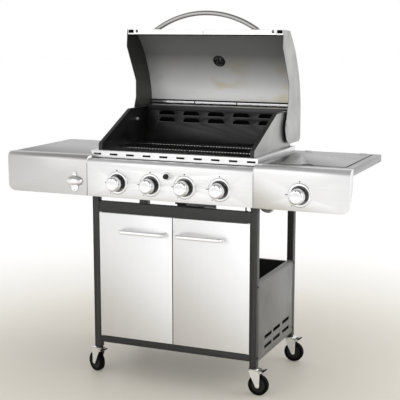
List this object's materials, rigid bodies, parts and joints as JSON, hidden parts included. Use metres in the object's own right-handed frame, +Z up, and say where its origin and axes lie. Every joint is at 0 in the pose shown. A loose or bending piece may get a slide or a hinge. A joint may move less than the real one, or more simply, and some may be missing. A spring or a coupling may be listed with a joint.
{
  "type": "gas barbecue grill",
  "caption": "Gas barbecue grill on a castor trolley: lifting hood over a slotted firebox, control knobs, two side shelves, one with a lidded side burner, and a two-door cabinet.",
  "frame": {"origin": "centre of the footprint box at floor level, under the middle of the grill with its hood open", "axes": "+X to the grill's right as seen from the front, -Y towards the user in front, +Z up"},
  "size_m": [1.312, 0.5788, 1.3464],
  "materials": {
    "stainless": "brushed",
    "bright_steel": "polished",
    "black_paint": "satin powder coat",
    "grey_paint": "satin powder coat",
    "hood_silver": "satin",
    "black_enamel": "satin enamel",
    "cast_black": "matt",
    "zinc": "bright zinc plate",
    "rubber": "matt",
    "brass": "satin",
    "black_plastic": "satin"
  },
  "bodies": {
    "cart": {"front_left_post": "black_paint", "front_right_post": "black_paint", "rear_left_post": "black_paint", "rear_right_post": "black_paint", "front_top_rail": "black_paint", "left_side_panel": "grey_paint", "right_side_panel": "grey_paint", "back_panel": "black_paint", "bottom_shelf": "black_paint", "control_panel": "stainless", "left_fascia": "stainless", "right_fascia": "stainless", "left_shelf": "stainless", "right_shelf": "stainless", "firebox_rim": "stainless", "left_firebox_wall": "black_enamel", "right_firebox_wall": "black_enamel", "firebox_rear_wall": "black_enamel", "drip_pan": "grey_paint", "burner_1": "stainless", "burner_2": "stainless", "burner_3": "stainless", "burner_4": "stainless", "gas_manifold": "brass", "heat_shield": "black_enamel", "left_cooking_grate": "cast_black", "right_cooking_grate": "cast_black", "side_burner_pan": "black_enamel", "side_burner": "cast_black", "side_burner_grate": "cast_black", "bottle_opener": "bright_steel"},
    "hood": {"hood_shell": "hood_silver", "left_hood_side": "hood_silver", "right_hood_side": "hood_silver", "hood_handle": "bright_steel", "thermometer": "bright_steel"},
    "side_burner_lid": {"side_burner_lid": "stainless"},
    "left_door": {"left_door": "stainless", "left_door_handle": "bright_steel"},
    "right_door": {"right_door": "stainless", "right_door_handle": "bright_steel"},
    "grease_tray": {"grease_tray": "black_enamel"},
    "igniter_button": {"igniter_button": "black_plastic"},
    "burner_knob_1": {"burner_knob_1": "bright_steel"},
    "burner_knob_2": {"burner_knob_2": "bright_steel"},
    "burner_knob_3": {"burner_knob_3": "bright_steel"},
    "burner_knob_4": {"burner_knob_4": "bright_steel"},
    "side_burner_knob": {"side_burner_knob": "bright_steel"},
    "front_left_castor": {"front_left_fork": "zinc"},
    "front_left_wheel": {"front_left_wheel": "rubber"},
    "front_left_brake": {"front_left_brake_pedal": "black_plastic"},
    "front_right_castor": {"front_right_fork": "zinc"},
    "front_right_wheel": {"front_right_wheel": "rubber"},
    "front_right_brake": {"front_right_brake_pedal": "black_plastic"},
    "rear_left_castor": {"rear_left_fork": "zinc"},
    "rear_left_wheel": {"rear_left_wheel": "rubber"},
    "rear_left_brake": {"rear_left_brake_pedal": "black_plastic"},
    "rear_right_castor": {"rear_right_fork": "zinc"},
    "rear_right_wheel": {"rear_right_wheel": "rubber"},
    "rear_right_brake": {"rear_right_brake_pedal": "black_plastic"}
  },
  "joints": [
    {"name": "hood_hinge", "type": "hinge", "parent": "cart", "child": "hood", "pos_m": [0, 0.1256, 0.932], "axis": [1, 0, 0], "range_deg": [0, 96]},
    {"name": "side_burner_lid_hinge", "type": "hinge", "parent": "cart", "child": "side_burner_lid", "pos_m": [0.486, 0.1826, 0.83], "axis": [-1, 0, 0], "range_deg": [0, 95]},
    {"name": "left_door_hinge", "type": "hinge", "parent": "cart", "child": "left_door", "pos_m": [-0.2915, -0.1989, 0.382], "axis": [0, 0, -1], "range_deg": [0, 110]},
    {"name": "right_door_hinge", "type": "hinge", "parent": "cart", "child": "right_door", "pos_m": [0.2915, -0.1989, 0.382], "axis": [0, 0, 1], "range_deg": [0, 110]},
    {"name": "burner_knob_1_turn", "type": "hinge", "parent": "cart", "child": "burner_knob_1", "pos_m": [-0.1975, -0.2644, 0.736], "axis": [0, -1, 0], "range_deg": [0, 180]},
    {"name": "burner_knob_2_turn", "type": "hinge", "parent": "cart", "child": "burner_knob_2", "pos_m": [-0.066, -0.2644, 0.736], "axis": [0, -1, 0], "range_deg": [0, 180]},
    {"name": "burner_knob_3_turn", "type": "hinge", "parent": "cart", "child": "burner_knob_3", "pos_m": [0.066, -0.2644, 0.736], "axis": [0, -1, 0], "range_deg": [0, 180]},
    {"name": "burner_knob_4_turn", "type": "hinge", "parent": "cart", "child": "burner_knob_4", "pos_m": [0.1975, -0.2644, 0.736], "axis": [0, -1, 0], "range_deg": [0, 180]},
    {"name": "side_burner_knob_turn", "type": "hinge", "parent": "cart", "child": "side_burner_knob", "pos_m": [0.4845, -0.2644, 0.736], "axis": [0, -1, 0], "range_deg": [0, 180]},
    {"name": "igniter_push", "type": "slide", "parent": "cart", "child": "igniter_button", "axis": [0, 1, 0], "range_m": [0, 0.004], "stiffness_N_per_m": 300},
    {"name": "grease_tray_slide", "type": "slide", "parent": "cart", "child": "grease_tray", "axis": [0, 1, 0], "range_m": [0, 0.09]},
    {"name": "front_left_swivel", "type": "hinge", "parent": "cart", "child": "front_left_castor", "pos_m": [-0.3095, -0.1903, 0.094], "axis": [0, 0, 1], "continuous": true},
    {"name": "front_left_roll", "type": "hinge", "parent": "front_left_castor", "child": "front_left_wheel", "pos_m": [-0.32581, -0.18269, 0.03726], "axis": [-0.4226, -0.9063, 0], "continuous": true},
    {"name": "front_left_brake_press", "type": "hinge", "parent": "front_left_castor", "child": "front_left_brake", "pos_m": [-0.29319, -0.19791, 0.0875], "axis": [0.4226, 0.9063, 0], "range_deg": [0, 25]},
    {"name": "front_right_swivel", "type": "hinge", "parent": "cart", "child": "front_right_castor", "pos_m": [0.3095, -0.1903, 0.094], "axis": [0, 0, 1], "continuous": true},
    {"name": "front_right_roll", "type": "hinge", "parent": "front_right_castor", "child": "front_right_wheel", "pos_m": [0.3275, -0.1903, 0.03726], "axis": [0, 1, 0], "continuous": true},
    {"name": "front_right_brake_press", "type": "hinge", "parent": "front_right_castor", "child": "front_right_brake", "pos_m": [0.3405, -0.1903, 0.0875], "axis": [0, 1, 0], "range_deg": [0, 25]},
    {"name": "rear_left_swivel", "type": "hinge", "parent": "cart", "child": "rear_left_castor", "pos_m": [-0.3095, 0.2156, 0.094], "axis": [0, 0, 1], "continuous": true},
    {"name": "rear_left_roll", "type": "hinge", "parent": "rear_left_castor", "child": "rear_left_wheel", "pos_m": [-0.32581, 0.22321, 0.03726], "axis": [-0.4226, -0.9063, 0], "continuous": true},
    {"name": "rear_left_brake_press", "type": "hinge", "parent": "rear_left_castor", "child": "rear_left_brake", "pos_m": [-0.3376, 0.2287, 0.0875], "axis": [-0.4226, -0.9063, 0], "range_deg": [0, 25]},
    {"name": "rear_right_swivel", "type": "hinge", "parent": "cart", "child": "rear_right_castor", "pos_m": [0.3095, 0.2156, 0.094], "axis": [0, 0, 1], "continuous": true},
    {"name": "rear_right_roll", "type": "hinge", "parent": "rear_right_castor", "child": "rear_right_wheel", "pos_m": [0.3275, 0.2156, 0.03726], "axis": [0, 1, 0], "continuous": true},
    {"name": "rear_right_brake_press", "type": "hinge", "parent": "rear_right_castor", "child": "rear_right_brake", "pos_m": [0.3405, 0.2156, 0.0875], "axis": [0, 1, 0], "range_deg": [0, 25]}
  ]
}
